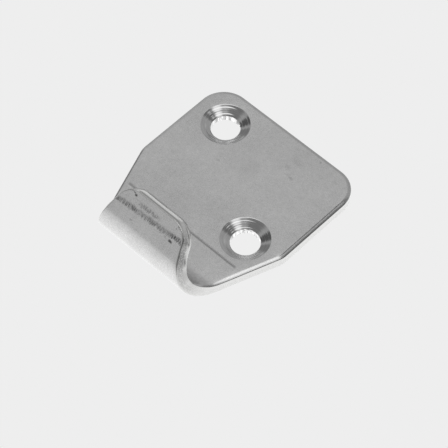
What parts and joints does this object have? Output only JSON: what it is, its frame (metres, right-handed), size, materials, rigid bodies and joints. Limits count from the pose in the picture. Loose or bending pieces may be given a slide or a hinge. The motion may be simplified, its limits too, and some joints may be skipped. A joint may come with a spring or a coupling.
{
  "type": "hook catch plate",
  "caption": "Bent sheet-metal catch plate: a flat screw-down base with countersunk holes, whose tapered front end curls up and back into a hook for a latch loop.",
  "frame": {"origin": "midway between the two screw holes, on the flat underside that is screwed down", "axes": "+X across the plate, +Y towards the square rear end so that the hook is at -Y, +Z out of the mounting face towards the hook's tip"},
  "size_m": [0.03, 0.0339, 0.0126],
  "materials": {
    "stainless_sheet": "tumbled satin stainless steel with faint mottling and tool marks at the bend"
  },
  "bodies": {
    "root": {"catch_plate": "stainless_sheet"}
  },
  "joints": []
}
